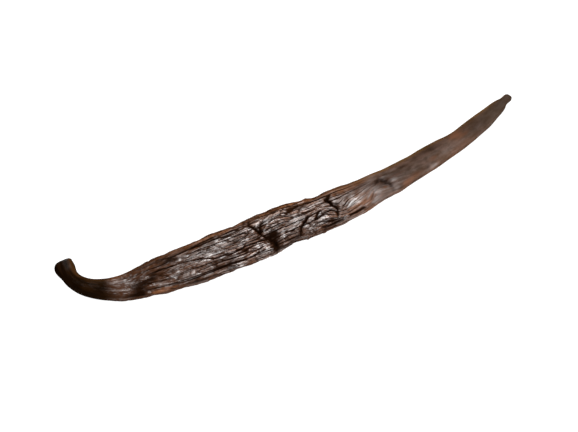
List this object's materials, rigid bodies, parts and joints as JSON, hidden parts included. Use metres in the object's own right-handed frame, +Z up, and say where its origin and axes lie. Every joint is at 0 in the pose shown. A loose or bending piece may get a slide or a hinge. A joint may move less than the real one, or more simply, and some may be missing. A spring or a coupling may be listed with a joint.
{
  "type": "vanilla pod",
  "caption": "Cured vanilla pod: a long, flattened, wrinkled dark brown pod with a hooked stem end and a slim blunt tip, lying on its flat side.",
  "frame": {"origin": "centre of the pod's bounding box in plan, on the surface it lies on", "axes": "+X along the pod from the hooked stem end towards the tip, +Y to the side the stem hooks to, +Z up"},
  "size_m": [0.142, 0.021, 0.0088],
  "materials": {
    "pod_skin": "oily wrinkled cured skin, dark chocolate brown with a grey sheen and reddish brown rims"
  },
  "bodies": {
    "root": {"pod": "pod_skin"}
  },
  "joints": []
}
